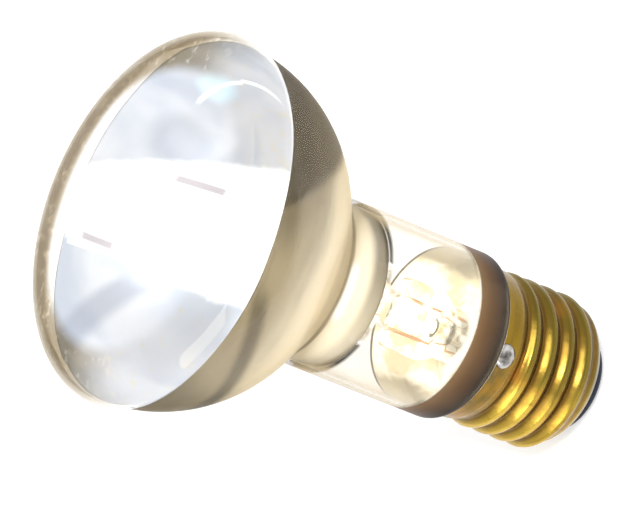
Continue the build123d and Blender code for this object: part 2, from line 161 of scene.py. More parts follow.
def chain(start, heading, steps):
    """Points along straight runs (length, 0) and arcs (radius, turn), each tangent to the last.

    An arc's centre lies at right angles to the heading; its points are the centre plus the radius
    turned by the heading, which grows evenly from the arc's start to its end.
    """
    point, angle, parts = np.array(start, float), radians(heading), [np.array([start], float)]
    for size, turn in steps:
        count = max(4, int(abs(turn) / DEGREES_PER_STEP))
        share = np.linspace(0, 1, count + 1)[1:, None]
        if turn:
            side = np.sign(turn)
            centre = point + side * size * np.array([-sin(angle), cos(angle)])
            headings = angle + radians(turn) * share
            part = centre + side * size * np.hstack([np.sin(headings), -np.cos(headings)])
            angle += radians(turn)
        else:
            part = point + size * share * np.array([cos(angle), sin(angle)])
        point = part[-1]
        parts.append(part)
    return np.vstack(parts)


def bulb_outline(inset):
    """Radius and height along the bulb from its tail to the middle of its face, moved in by inset."""
    outline = chain((TAIL_R - inset, TAIL_Z), 90, [
        (NECK_FOOT - THROAT_ARC - TAIL_ARC - TAIL_Z, 0),
        (TAIL_ARC + inset, -90), (THROAT_RUN, 0), (THROAT_ARC - inset, 90), (NECK_LENGTH, 0),
        (WAIST_ARC + inset, -FLANK_TURN), (FLANK_LENGTH, 0), (BOWL_ARC - inset, FLANK_TURN),
        (SHOULDER_ARC - inset, 90 - FACE_TURN), (FACE_ARC - inset, FACE_TURN)])
    outline[-1, 0] = 0
    return outline


def make_mesh(name, points, faces):
    """Smooth mesh object at the origin, from points in millimetres; points that coincide are joined."""
    mesh = bpy.data.meshes.new(name)
    mesh.from_pydata((points * MM).reshape(-1, 3), [], faces.reshape(-1, 4))
    mesh.update()
    piece = bpy.data.objects.new(name, mesh)
    bpy.context.scene.collection.objects.link(piece)
    work = bmesh.new()
    work.from_mesh(mesh)
    bmesh.ops.remove_doubles(work, verts=work.verts, dist=MERGE_DISTANCE)
    work.to_mesh(mesh)
    work.free()
    mesh.shade_smooth()
    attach(piece, "root")
    return piece


def grid_faces(rows, columns):
    """Quads of a grid whose columns close on themselves, as index rows (row by row)."""
    row, column = np.meshgrid(np.arange(rows - 1), np.arange(columns), indexing="ij")
    after = (column + 1) % columns
    return np.stack([row * columns + column, row * columns + after,
                     (row + 1) * columns + after, (row + 1) * columns + column], axis=-1)


def full_turn(count):
    """Evenly spaced angles of one turn round the axis."""
    return np.linspace(0, 2 * pi, count, endpoint=False)


def turned(name, radius, height):
    """Surface of revolution: x = r cos t, y = r sin t, z = h, for every turn t round the axis.

    radius and height may change with t as well, as arrays of (steps along, steps around).
    """
    angle = full_turn(AROUND)[None, :]
    radius, height = (value if value.ndim == 2 else value[:, None] for value in (radius, height))
    points = np.stack(np.broadcast_arrays(
        radius * np.cos(angle), radius * np.sin(angle), height + 0 * angle), axis=-1)
    return make_mesh(name, points, grid_faces(len(points), AROUND))


def smooth_step(value):
    """Rises from 0 to 1 with level ends."""
    value = np.clip(value, 0, 1)
    return value * value * (3 - 2 * value)


def rounded_route(points, bends):
    """Points along straight runs whose corners are replaced by tangent arcs of the given radii.

    An arc's centre lies on the line that halves the corner. Its points lie one radius from there, in
    directions that go from the first touching point's to the last one's.
    """
    points = [np.array(point, float) for point in points]
    route = [points[0]]
    share = np.linspace(0, 1, BEND_STEPS)[:, None]
    for before, corner, after, bend in zip(points, points[1:], points[2:], bends):
        come, leave = before - corner, after - corner
        come, leave = come / np.linalg.norm(come), leave / np.linalg.norm(leave)
        half = acos(np.clip(come @ leave, -1, 1)) / 2
        centre = corner + (come + leave) / np.linalg.norm(come + leave) * bend / sin(half)
        first, last = corner + come * bend / np.tan(half), corner + leave * bend / np.tan(half)
        spoke = (1 - share) * (first - centre) + share * (last - centre)
        route.extend(centre + bend * spoke / np.linalg.norm(spoke, axis=1)[:, None])
    route.append(points[-1])
    return np.array(route)


def wire_along(name, route, radius):
    """Round wire with closed flat ends: at each point of the route a circle stands across its direction.

    The route lies in the plane x = 0, so the circle is spanned by the x axis and by the direction
    crossed with it, and the wire never twists.
    """
    ahead = np.gradient(route, axis=0)
    ahead /= np.linalg.norm(ahead, axis=1)[:, None]
    route, ahead = (np.vstack([rows[:1], rows, rows[-1:]]) for rows in (route, ahead))
    across = np.array([1.0, 0, 0])
    beside = np.cross(ahead, across)
    reach = np.full((len(route), 1, 1), radius)
    reach[[0, -1]] = 0
    angle = full_turn(WIRE_AROUND)[None, :, None]
    points = route[:, None] + reach * (np.cos(angle) * across + np.sin(angle) * beside[:, None])
    return make_mesh(name, points, grid_faces(len(route), WIRE_AROUND))


class Socket:
    """A shader socket that takes part in Python's arithmetic; each operation adds one Math node."""

    def __init__(self, nodes, socket):
        self.nodes, self.socket = nodes, socket

    def math(self, operation, *values):
        """One Math node; the values are sockets or plain numbers."""
        return self.nodes.add("ShaderNodeMath", {"operation": operation}, *values)[0]

    def __add__(self, other):
        return self.math("ADD", self, other)

    def __radd__(self, other):
        return self.math("ADD", other, self)

    def __sub__(self, other):
        return self.math("SUBTRACT", self, other)

    def __rsub__(self, other):
        return self.math("SUBTRACT", other, self)

    def __mul__(self, other):
        return self.math("MULTIPLY", self, other)

    def __rmul__(self, other):
        return self.math("MULTIPLY", other, self)

    def __truediv__(self, other):
        return self.math("DIVIDE", self, other)

    def __pow__(self, other):
        return self.math("POWER", self, other)

    def __abs__(self):
        return self.math("ABSOLUTE", self)

    def clipped(self):
        """The number held between 0 and 1."""
        return self.math("MINIMUM", self.math("MAXIMUM", self, 0.0), 1.0)


class Outputs:
    """The outputs of a node, by number, by name, or by name and type."""

    def __init__(self, nodes, node):
        self.nodes, self.node = nodes, node

    def __getitem__(self, key):
        if isinstance(key, tuple):
            found = [output for output in self.node.outputs if (output.name, output.type) == key][0]
        else:
            found = self.node.outputs[key]
        return Socket(self.nodes, found)


class Nodes:
    """A node tree under construction."""

    def __init__(self, tree):
        self.tree = tree
        tree.nodes.clear()

    def add(self, kind, settings, *values, **named):
        """Adds a node: first its settings, then the values or links of its sockets, in order or by name."""
        node = self.tree.nodes.new(kind)
        for key, value in settings.items():
            if key == "stops":
                self.set_stops(node.color_ramp.elements, value)
            else:
                setattr(node, key, value)
        pairs = list(zip(node.inputs, values)) + [
            (node.inputs[key.replace("_", " ")], value) for key, value in named.items()]
        for socket, value in pairs:
            if isinstance(value, Socket):
                self.tree.links.new(value.socket, socket)
            elif value is not None:
                socket.default_value = (*value, 1) if socket.type == "RGBA" else value
        return Outputs(self, node)

    def set_stops(self, elements, stops):
        """Replaces a ramp's own stops by the given pairs of position and colour."""
        for spare in list(elements)[1:]:
            elements.remove(spare)
        for index, (position, colour) in enumerate(stops):
            stop = elements[0] if index == 0 else elements.new(position)
            stop.position, stop.color = position, (*colour, 1)


class Finish(Nodes):
    """A material under construction, with short ways to add the nodes that it uses."""

    def __init__(self, name):
        self.material = bpy.data.materials.new(name)
        self.material.use_nodes = True
        super().__init__(self.material.node_tree)
        self.place = self.add("ShaderNodeTexCoord", {})["Object"]

    def place_mm(self):
        """Where a point lies, as three numbers in millimetres."""
        node = self.add("ShaderNodeSeparateXYZ", {}, self.place)
        return node[0] * (1 / MM), node[1] * (1 / MM), node[2] * (1 / MM)

    def length(self, *numbers):
        """Root of the sum of squares."""
        return sum((number * number for number in numbers[1:]), numbers[0] * numbers[0]) ** 0.5

    def distance(self, place, point):
        """How far a place, given as three numbers, lies from a point."""
        return self.length(*(number - middle for number, middle in zip(place, point)))

    def noise(self, scale, detail=2.0, roughness=0.5, place=None, distortion=0.0):
        """Soft random pattern; scale is patterns per metre."""
        return self.add("ShaderNodeTexNoise", {}, Vector=place or self.place, Scale=scale,
                        Detail=detail, Roughness=roughness, Distortion=distortion)["Fac"]

    def streaks(self, scale, detail, stretch):
        """Soft random pattern that is packed closer along the axes with a larger stretch."""
        place = self.add("ShaderNodeMapping", {}, self.place, Scale=stretch)["Vector"]
        return self.noise(scale, detail, place=place)

    def spread(self, value, low, high, to_low=0.0, to_high=1.0):
        """Number mapped from one range to another, with smooth ends and no overshoot."""
        return self.add("ShaderNodeMapRange", {"interpolation_type": "SMOOTHSTEP"}, Value=value,
                        From_Min=low, From_Max=high, To_Min=to_low, To_Max=to_high)["Result"]

    def band(self, value, centre, half, soft):
        """1 within half of the centre, falling to 0 over a soft margin on both sides."""
        return self.spread(abs(value - centre), half + soft, half)

    def mix(self, share, first, second):
        """Colour between first and second, with the share held between 0 and 1.

        The five sockets left out are the node's vector share and its pairs of numbers and vectors.
        """
        return self.add("ShaderNodeMix", {"data_type": "RGBA"}, share, None, None, None, None, None,
                        first, second)["Result", "RGBA"]

    def ramp(self, value, stops):
        """Colour read off a row of stops."""
        return self.add("ShaderNodeValToRGB", {"stops": stops}, value)["Color"]

    def bump(self, height, distance, strength):
        """Normal that leans with the height; distance is in metres."""
        return self.add("ShaderNodeBump", {}, Strength=strength, Distance=distance, Height=height)["Normal"]

    def surface(self, **sockets):
        """Principled surface with the given sockets."""
        return self.add("ShaderNodeBsdfPrincipled", {}, **sockets)["BSDF"]

    def show(self, shader):
        """The material, with a shader as its output."""
        self.add("ShaderNodeOutputMaterial", {}, Surface=shader)
        return self.material

    def skin(self, **sockets):
        """The material, with one principled surface as its output."""
        return self.show(self.surface(**sockets))

    def skins(self, share, first, second):
        """The material, with a surface between first and second as its output."""
        return self.show(self.add("ShaderNodeMixShader", {}, share, first, second)[0])


def wear(piece, *materials):
    """Gives a piece its materials, in the order of its slots."""
    piece.data.materials.clear()
    for material in materials:
        piece.data.materials.append(material)


def tone(red, green, blue):
    """Colour as it looks on a screen, 0 to 255, turned into light."""
    return tuple(((value / 255 + 0.055) / 1.055) ** 2.4 for value in (red, green, blue))


def clear_glass():
    """Blown glass: clear face, painted taupe shade on the shoulder, cream neck, brown band above the cap.

    Over the mirror the glass is nearly gone, so that the film's own colour shows. The band is a
    nearly opaque coating, scorched outside; inside it is painted with a glow of the burner's light,
    with painted shade to both sides. Glass seen edge-on turns tan, a painted edge shade, and on the
    neck that painted shade takes on the coating too.
    """
    finish = Finish("bulb glass")
    x, y, z = finish.place_mm()
    radius = finish.length(x, y)
    cloud = finish.noise(160.0, 3.0)
    facing = finish.add("ShaderNodeLayerWeight", {}, Blend=0.5)["Facing"]

    neck = finish.spread(z, NECK_TOP + 12, NECK_TOP)
    tint = finish.mix(neck, (0.99, 0.99, 0.985), (0.965, 0.94, 0.89))
    # Painted edge shade: glass seen edge-on turns tan
    edge = finish.spread(facing, 0.55, 1.0)
    tint = finish.mix(0.8 * edge, tint, tone(190, 172, 138))
    # Painted shade: a taupe band on the shoulder, strongest on the far side, with pale speckles
    shoulder = finish.spread(z, EQUATOR - 4, EQUATOR - 1) * finish.spread(
        radius, BULB_R - 9.5, BULB_R - 6.5)
    far_side = finish.spread(x, 14.0, -6.0)
    shoulder_shade = shoulder * (0.12 + 0.88 * far_side) * (0.7 + 0.5 * cloud)
    tint = finish.mix(shoulder_shade, tint, tone(168, 152, 122))
    speckle = finish.spread(finish.noise(520.0), 0.60, 0.70)
    tint = finish.mix(0.8 * speckle * shoulder, tint, tone(250, 240, 220))
    over_coat = finish.spread(z, COAT_FOOT - 0.5, COAT_FOOT + 0.5) * finish.spread(
        z, EQUATOR + 0.5, EQUATOR - 0.5)
    glass = finish.surface(
        Base_Color=tint, Roughness=0.0, IOR=1.42, Specular_Tint=tone(225, 215, 195),
        Transmission_Weight=1.0, Normal=finish.bump(finish.noise(55.0, 1.0), 0.0006, 0.25),
        Alpha=1 - 0.93 * over_coat)

    rise = z + 0.12 * cloud
    share = (rise - NECK_FOOT) / (BAND_TOP - NECK_FOOT) + 0.6 * (finish.noise(60.0, 3.0) - 0.5)
    scorch = finish.ramp(share, [(0.0, tone(32, 20, 10)), (0.25, tone(60, 39, 19)),
                                 (0.6, tone(84, 58, 30)), (1.0, tone(110, 82, 50))])
    # Inside the band: a painted glow of the burner's light on the band's inner wall, with painted shade to
    # both sides
    within = finish.spread(radius, NECK_R - 0.35, NECK_R - 0.55)
    lining_shade = finish.spread(abs(y + 6.0 * cloud - 3.0), 9.4, 11.4)
    marbling = finish.spread(finish.noise(140.0, 3.0), 0.45, 0.6)
    painted_lining = finish.mix(marbling, tone(255, 252, 242), tone(214, 200, 160))
    painted_lining = finish.mix(lining_shade, painted_lining, tone(200, 191, 166))
    colour = finish.mix(within, scorch, painted_lining)
    colour = finish.mix(finish.spread(z, BAND_TOP, BAND_TOP + 0.5), colour, tone(196, 178, 142))
    light = finish.mix(within * (1 - lining_shade), BLACK, tone(240, 234, 218))
    coating = finish.surface(
        Base_Color=colour, Roughness=0.4, Coat_Weight=0.05, Coat_Roughness=0.05,
        Specular_IOR_Level=0.06, Emission_Color=light, Emission_Strength=0.45)
    band = finish.spread(rise, BAND_TOP + 0.25, BAND_TOP - 0.1) * (0.9 + 0.08 * cloud)
    # Painted edge shade on the neck: the coating where the glass is seen edge-on
    rim_shade = 0.75 * finish.spread(facing, 0.5, 0.97) * finish.spread(z, NECK_TOP + 2.0, NECK_TOP - 2.0)
    return finish.skins((band + rim_shade).clipped(), glass, coating)


def stem_glass():
    """Stem glass, full of the burner's light, with a painted milky glow where it flares out to the bulb's
    tail.
    """
    finish = Finish("stem glass")
    x, _, z = finish.place_mm()
    tint = finish.mix(finish.noise(260.0), tone(253, 250, 242), tone(244, 238, 222))
    glints = finish.spread(finish.noise(230.0), 0.48, 0.60)
    light = finish.mix(glints, (0.10, 0.09, 0.06), (1.0, 0.96, 0.86))
    glass = finish.surface(
        Base_Color=tint, Roughness=0.02, IOR=1.5, Transmission_Weight=1.0,
        Normal=finish.bump(finish.noise(120.0, 1.0), 0.0006, 0.4),
        Emission_Color=light, Emission_Strength=0.9)
    # Painted glow of the flare: milky white with olive patches, full white on one side
    olive = finish.spread(finish.noise(120.0, 3.0), 0.42, 0.62)
    flare_glow = finish.mix(olive, tone(252, 251, 246), tone(206, 197, 166))
    flare_glow = finish.mix(finish.spread(x, -7.5, -4.0), flare_glow, WHITE)
    flare = finish.surface(Base_Color=flare_glow, Roughness=0.25, Emission_Color=flare_glow, Emission_Strength=0.35)
    return finish.skins(finish.spread(z, TAIL_Z + 7.0, TAIL_Z + 4.0), glass, flare)


def clear_tube():
    """Clear tube glass of the exhaust tube and the sleeve."""
    finish = Finish("tube glass")
    tint = finish.mix(finish.noise(260.0), (0.97, 0.93, 0.84), (0.93, 0.86, 0.73))
    return finish.skin(Base_Color=tint, Roughness=0.02, IOR=1.5, Transmission_Weight=1.0,
                       Normal=finish.bump(finish.noise(120.0, 1.0), 0.0006, 0.4))


def film_inside():
    """Bright aluminium as the burner sees it: pale blue grey with painted darker shade, and a painted
    glow of the burner's light along the far side.

    The glow has a ragged edge on both sides and two thin grey lines across it: a painted shadow of the
    frame's rod, and the rod's painted reflection, with a thin painted bright line of that reflection
    beside it. A painted pale cyan highlight and a painted arc of reflection lie apart from the glow.
    """
    finish = Finish("mirror, burner side")
    place = x, y, z = finish.place_mm()
    rod_height, image_height = 68.2, 78.5
    shade_patch_middle, shade_patch_r = (-25.0, 12.5, 73.0), 7.5
    cyan_highlight_middle, cyan_highlight_r = (-17.2, 23.4, 75.4), 4.6
    arc_reflection_middle, arc_reflection_r = (-14.0, 16.0, 63.0), 14.5
    far_side = finish.spread(x, 0.0, -6.0)
    cloud = finish.noise(70.0, 3.0)

    drift = finish.spread(finish.noise(34.0, 3.0, distortion=0.8), 0.40, 0.62)
    # Painted shade: a darker band and a darker round area on the mirror
    shade_sweep = finish.band(z + 0.9 * y, 61.5, 1.0, 2.5) * finish.spread(y, -9.0, -13.0)
    shade_patch = finish.spread(finish.distance(place, shade_patch_middle), shade_patch_r, 3.0)
    # Painted shadow of the frame's rod and its painted reflection, as grey lines that cut the glow
    rod_shadow = finish.band(y + 0.12 * z, 15.3, 0.35, 0.5) * finish.band(z, rod_height, 2.6, 0.9)
    rod_reflection_gap = finish.band(y, -7.4, 0.35, 0.5) * finish.band(z, image_height, 2.2, 0.8)
    shadow_and_reflection_gaps = far_side * (rod_shadow + rod_reflection_gap).clipped()
    tint = finish.mix(drift, tone(242, 244, 248), tone(212, 219, 230))
    tint = finish.mix(0.55 * shade_sweep + 0.5 * shade_patch, tint, tone(158, 168, 186))
    tint = finish.mix(shadow_and_reflection_gaps, tint, tone(216, 209, 213))

    ragged = y + 3.4 * finish.noise(120.0, 5.0, 0.6)
    low = finish.spread(ragged, -8.1, -6.3)
    high = finish.spread(ragged + 0.5 * z, 47.9, 46.1)
    # Painted reflection of the rod: a thin bright line
    rod_reflection_line = finish.band(y + 0.06 * (z - image_height), -8.9, 0.25, 0.15) * finish.band(
        z, image_height, 4.6, 0.4)
    glow = (low * high * (1 - shadow_and_reflection_gaps) + rod_reflection_line).clipped() * far_side
    # Painted highlights: a pale cyan highlight and a bright arc of reflection
    cyan_highlight = finish.spread(finish.distance(place, cyan_highlight_middle), cyan_highlight_r, 0.8)
    arc = finish.band(finish.distance(place, arc_reflection_middle), arc_reflection_r, 0.15, 0.5) * finish.spread(
        y, 18.5, 20.5) * finish.spread(z, 69.5, 72.0)
    light = finish.mix(glow, (0.02, 0.02, 0.02), WHITE)
    light = finish.mix(cyan_highlight, light, tone(178, 232, 244))
    light = finish.mix(0.8 * arc, light, WHITE)
    return finish.skin(
        Base_Color=tint, Metallic=1.0, Roughness=0.48 + 0.14 * cloud,
        Normal=finish.bump(finish.noise(60.0), 0.0008, 0.3), Coat_Weight=0.2, Coat_Roughness=0.04,
        Emission_Color=light, Emission_Strength=0.7)


def film_outside():
    """Back of the aluminium film, seen through the glass: satin, cream where it is lit, taupe in shade.

    As the camera sees it, painted shades lie on the upper side, under the rim, and on the lower side
    as a streak and a broad one; painted darker streaks run round the film where it is not lit. The
    waist has a painted dark ring of shade near the film's foot, a thin painted dark line of shade
    above it and a short painted highlight between the two.
    """
    finish = Finish("mirror, glass side")
    x, y, z = finish.place_mm()
    cloud = finish.noise(45.0)
    lean = z + 0.9 * cloud
    lit = finish.spread(lean, 83.0, 69.0) * finish.spread(x, -8.0, 16.0)
    # Painted shade: darker streaks round the film, only where it is not lit
    streaks = finish.spread(finish.streaks(28.0, 3.0, (1.0, 1.0, 5.0)), 0.45, 0.65)
    top_shade = finish.spread(y + 0.7 * lean, 68.2, 71.4)
    rim_shade = finish.spread(lean, 80.5, 84.5) * finish.spread(y, -1.0, 8.0)
    low_streak = finish.band(lean - 0.4485 * y, 87.3, 0.5, 2.3) * finish.spread(y, -2.0, -8.0)
    low_shade = finish.spread(y, -19.0, -27.0)
    shade = 0.85 * top_shade + 0.6 * rim_shade + 0.7 * low_streak + 0.6 * low_shade
    # Painted shade: a dark ring near the film's foot and a thin dark line above it; a painted highlight
    # between
    end_shade_ring = finish.band(z, NECK_TOP - 2.0, 1.0, 2.4) * finish.spread(y, -12.0, 8.0, 0.35, 1.0)
    waist_shade_line = finish.band(z, NECK_TOP + 6.0, 0.3, 1.0)
    waist_light = finish.band(z, NECK_TOP + 4.4, 0.7, 0.9) * finish.band(
        y, 0.0, 3.0, 3.0) * finish.spread(x, 6.0, 10.0)
    colour = finish.mix(lit, tone(147, 134, 106), tone(244, 230, 199))
    colour = finish.mix(0.8 * streaks * (1 - lit), colour, tone(120, 108, 86))
    colour = finish.mix(shade, colour, tone(75, 67, 51))
    colour = finish.mix(0.75 * end_shade_ring + 0.6 * waist_shade_line, colour, tone(74, 65, 51))
    colour = finish.mix(waist_light, colour, (1.0, 0.99, 0.95))
    return finish.skin(Base_Color=colour, Metallic=1.0, Roughness=0.30 + 0.12 * cloud,
                       Specular_Tint=tone(170, 160, 140))


def lit_quartz():
    """Quartz of the burner, white hot with light, duller towards its two pinches."""
    finish = Finish("lit quartz")
    z = finish.place_mm()[2]
    glow = finish.spread(abs(z - BURNER_MIDDLE), 19.0, 12.0)
    light = finish.mix(glow, (0.45, 0.42, 0.36), (1.0, 0.98, 0.94))
    return finish.skin(Base_Color=(0.9, 0.9, 0.88), Roughness=0.1, Emission_Color=light,
                       Emission_Strength=0.95)


def hot_wire():
    """Tungsten at white heat."""
    finish = Finish("hot tungsten")
    light = finish.mix(finish.noise(900.0, 1.0), (1.0, 0.93, 0.80), (1.0, 0.86, 0.66))
    return finish.skin(Base_Color=(0.5, 0.5, 0.5), Metallic=1.0, Roughness=0.4, Emission_Color=light,
                       Emission_Strength=8.0)


def lit_nickel():
    """Nickel rod beside the burner, overwhelmed with its light above the stem."""
    finish = Finish("lit nickel rod")
    z = finish.place_mm()[2]
    cloud = finish.noise(500.0, 3.0)
    tint = finish.mix(cloud, (0.85, 0.82, 0.78), (0.68, 0.62, 0.56))
    light = finish.mix(finish.spread(z, PRESS_TOP + 4.0, PRESS_TOP + 14.0), BLACK, tone(255, 250, 244))
    return finish.skin(Base_Color=tint, Metallic=1.0, Roughness=0.25 + 0.15 * cloud, Emission_Color=light,
                       Emission_Strength=1.0)


def copper():
    """Drawn copper wire."""
    finish = Finish("copper wire")
    tint = finish.mix(finish.noise(700.0, 3.0), (0.86, 0.52, 0.36), (0.60, 0.30, 0.18))
    return finish.skin(Base_Color=tint, Metallic=1.0, Roughness=0.3)


def foil():
    """Molybdenum foil and pins."""
    finish = Finish("molybdenum")
    tint = finish.mix(finish.noise(600.0, 3.0), (0.55, 0.55, 0.57), (0.40, 0.40, 0.42))
    return finish.skin(Base_Color=tint, Metallic=1.0, Roughness=0.35)


def cap_brass():
    """Rolled brass: olive on one side and a painted gold sheen on the other, brown in the thread's hollows.

    The plain collar is olive gold on the first side, and smoky with straw tints on the second. Fine
    rolling lines run round the whole cap.
    """
    finish = Finish("cap brass")
    x, y, z = finish.place_mm()
    radius = finish.length(x, y)
    cloud = finish.noise(80.0, 4.0, 0.6)
    drift = finish.noise(38.0, 3.0, 0.55)
    fine = finish.noise(320.0, 4.0, 0.65)
    lines = finish.streaks(240.0, 3.0, (0.25, 0.25, 3.0))

    threaded = finish.spread(z, THREAD_FOOT - 1.5, THREAD_FOOT + 1.0)
    hollow = threaded * finish.spread(radius, CREST_R - 0.1, THREAD_ROOT_R + 0.15)
    deep = threaded * finish.spread(radius, CREST_R - 0.55, THREAD_ROOT_R + 0.05)
    # Painted sheen: gold on one side of the cap, olive on the other
    sheen_side = finish.spread(y + 14.0 * (drift - 0.5), 2.0, -8.0)
    blush = finish.spread(finish.noise(60.0), 0.55, 0.66) * finish.spread(z, 10.0, 19.0)
    olive = finish.mix(cloud, tone(124, 107, 44), tone(90, 76, 28))
    gold = finish.mix(cloud, tone(204, 177, 76), tone(176, 138, 48))
    worn_and_sheen = finish.mix(sheen_side, olive, gold)
    worn_and_sheen = finish.mix(hollow * (0.5 + 0.5 * cloud), worn_and_sheen, tone(128, 98, 40))
    worn_and_sheen = finish.mix(deep * (0.35 + 0.6 * cloud), worn_and_sheen, tone(74, 50, 20))
    worn_and_sheen = finish.mix(0.45 * finish.spread(fine, 0.52, 0.68), worn_and_sheen, tone(116, 88, 36))
    worn_and_sheen = finish.mix(0.6 * blush, worn_and_sheen, tone(205, 130, 48))

    smoky = finish.ramp(finish.noise(75.0, 4.0, 0.6), [
        (0.30, tone(170, 122, 44)), (0.46, tone(128, 102, 48)),
        (0.56, tone(84, 78, 62)), (0.68, tone(52, 50, 46))])
    olive_gold = finish.mix(cloud, tone(142, 113, 38), tone(104, 84, 30))
    collar = finish.mix(finish.spread(y, -4.0, 3.0), smoky, olive_gold)
    colour = finish.mix(finish.spread(z, THREAD_TOP, THREAD_TOP + 2.4), worn_and_sheen, collar)
    colour = finish.mix(0.35 * finish.spread(lines, 0.50, 0.66), colour, tone(92, 74, 34))
    return finish.skin(
        Base_Color=colour, Metallic=1.0, Roughness=0.14 + 0.10 * cloud + 0.14 * fine + 0.05 * hollow,
        Normal=finish.bump(finish.noise(150.0, 3.0) + 0.3 * lines, 0.0005, 0.5))


def contact_brass():
    """Pressed brass plate."""
    finish = Finish("contact brass")
    cloud = finish.noise(200.0, 4.0)
    tint = finish.mix(cloud, (0.80, 0.62, 0.30), (0.55, 0.40, 0.18))
    return finish.skin(Base_Color=tint, Metallic=1.0, Roughness=0.3 + 0.2 * cloud)


def black_glass():
    """Moulded black glass with a faint blue sheen."""
    finish = Finish("black glass")
    cloud = finish.noise(120.0, 3.0)
    tint = finish.mix(cloud, (0.012, 0.016, 0.032), (0.03, 0.035, 0.055))
    return finish.skin(Base_Color=tint, Roughness=0.38 + 0.15 * cloud, Specular_IOR_Level=0.1,
                       Normal=finish.bump(finish.noise(220.0), 0.0003, 0.4))


def solder():
    """Lumpy solder with bright and dark grey patches."""
    finish = Finish("solder")
    cloud = finish.noise(350.0, 3.0)
    tint = finish.mix(finish.spread(cloud, 0.4, 0.6), tone(176, 174, 172), tone(70, 66, 62))
    return finish.skin(Base_Color=tint, Metallic=1.0, Roughness=0.16 + 0.2 * cloud,
                       Normal=finish.bump(finish.noise(420.0), 0.0006, 0.9))


def cement_skin():
    """Baked capping cement."""
    finish = Finish("capping cement")
    tint = finish.mix(finish.noise(400.0, 5.0), (0.20, 0.13, 0.08), (0.36, 0.26, 0.17))
    return finish.skin(Base_Color=tint, Roughness=0.85,
                       Normal=finish.bump(finish.noise(1500.0, 4.0), 0.0003, 0.8))


def blown_bulb():
    """Both walls of the glass: one outline of tangent arcs and runs, turned round the axis.

    It goes from the middle of the face along the inner wall to the tail, and back along the outer.
    """
    inside, outside = bulb_outline(GLASS_WALL)[::-1], bulb_outline(0)
    tail_lip = (inside[-1:] + outside[:1]) / 2
    outline = np.vstack([inside, tail_lip, outside])
    piece = turned("blown_bulb", outline[:, 0], outline[:, 1])
    wear(piece, clear_glass())
    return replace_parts(piece, "glass_bulb")


def wavy(angle, waves):
    """Sum of sine waves round the axis, each given as count, height and phase."""
    return sum(height * np.sin(count * angle + phase) for count, height, phase in waves)


def reflector_film():
    """Mirror film: the bulb's inner surface between its foot and a tilted, slightly uneven edge.

    Height runs evenly from the foot to the edge, and the radius is read off the bulb's outline, once
    for the wall on the glass and once for the wall on the burner's side.
    """
    angle = full_turn(AROUND)[None, :]
    edge = EQUATOR + COAT_TOP_RISE - COAT_TILT * (1 - np.cos(angle)) + wavy(angle, COAT_TOP_WAVES)
    foot = COAT_FOOT + wavy(angle, COAT_FOOT_WAVES)
    height = foot + np.linspace(0, 1, FILM_ROWS)[:, None] * (edge - foot)
    near, far = (np.interp(height, *bulb_outline(inset).T[::-1])
                 for inset in (GLASS_WALL + FILM_GAP, GLASS_WALL + FILM_GAP + FILM))
    radius = np.vstack([near, far[::-1], near[:1]])
    piece = turned("reflector_film", radius, np.vstack([height, height[::-1], height[:1]]))
    wear(piece, film_outside(), film_inside())
    ring = np.arange(len(radius) - 1)
    burner_side = (ring >= FILM_ROWS) & (ring < 2 * FILM_ROWS - 1)
    piece.data.polygons.foreach_set("material_index", np.repeat(burner_side, AROUND).astype(int))
    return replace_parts(piece, "mirror_film")


def shell_radius(height, angle, inset):
    """Radius of the cap: a plain form plus a knuckle wave whose phase turns with the angle.

    The wave is a row of equal round crests and round hollows; it fades in at the turned-in end,
    which is a quarter of a circle, and fades out below the plain collar.
    """
    turns = (height - THREAD_PHASE) / THREAD_PITCH - angle / (2 * pi)
    wave = (0.5 + 0.5 * np.cos(2 * pi * turns)) ** THREAD_FULLNESS
    fade = smooth_step((height - THREAD_FOOT + FADE_IN_START) / FADE_IN) * smooth_step(
        (THREAD_TOP + FADE_OUT_END - height) / FADE_OUT)
    end = np.clip((SHELL_FOOT + END_ARC - height) / END_ARC, 0, 1)
    plain = THREAD_ROOT_R - END_ARC * (1 - np.sqrt(1 - end ** 2))
    plain = plain + (CAP_COLLAR_R - THREAD_ROOT_R) * smooth_step(
        (height - THREAD_TOP + COLLAR_START) / COLLAR_FLARE)
    return plain + fade * wave * (CREST_R - np.minimum(plain, CREST_R)) - inset


def screw_shell():
    """Thin brass wall with the rolled thread inside and out, a turned-in end and a plain rim.

    Both walls follow the shell's radius, the inner one less the wall's thickness. Round the end the
    inner wall is lifted as well, more and more towards the opening.
    """
    angle = full_turn(AROUND)[None, :]
    end = SHELL_FOOT + END_ARC * (1 - np.cos(np.linspace(0, pi / 2, END_ROWS)))
    height = np.concatenate([end, np.linspace(end[-1], RIM, SHELL_ROWS)[1:]])[:, None] + 0 * angle
    lifted = height + SHELL_WALL * smooth_step((SHELL_FOOT + END_ARC - height) / END_ARC)
    outside, inside = shell_radius(height, angle, 0), shell_radius(height, angle, SHELL_WALL)
    lip = np.full((1, AROUND), END_OPENING_R)
    radius = np.vstack([lip, outside, inside[::-1], lip, lip])
    rise = np.vstack([height[:1], height, lifted[::-1], height[:1] + SHELL_WALL, height[:1]])
    piece = turned("rolled_shell", radius, rise)
    wear(piece, cap_brass())
    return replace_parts(piece, "screw_shell")


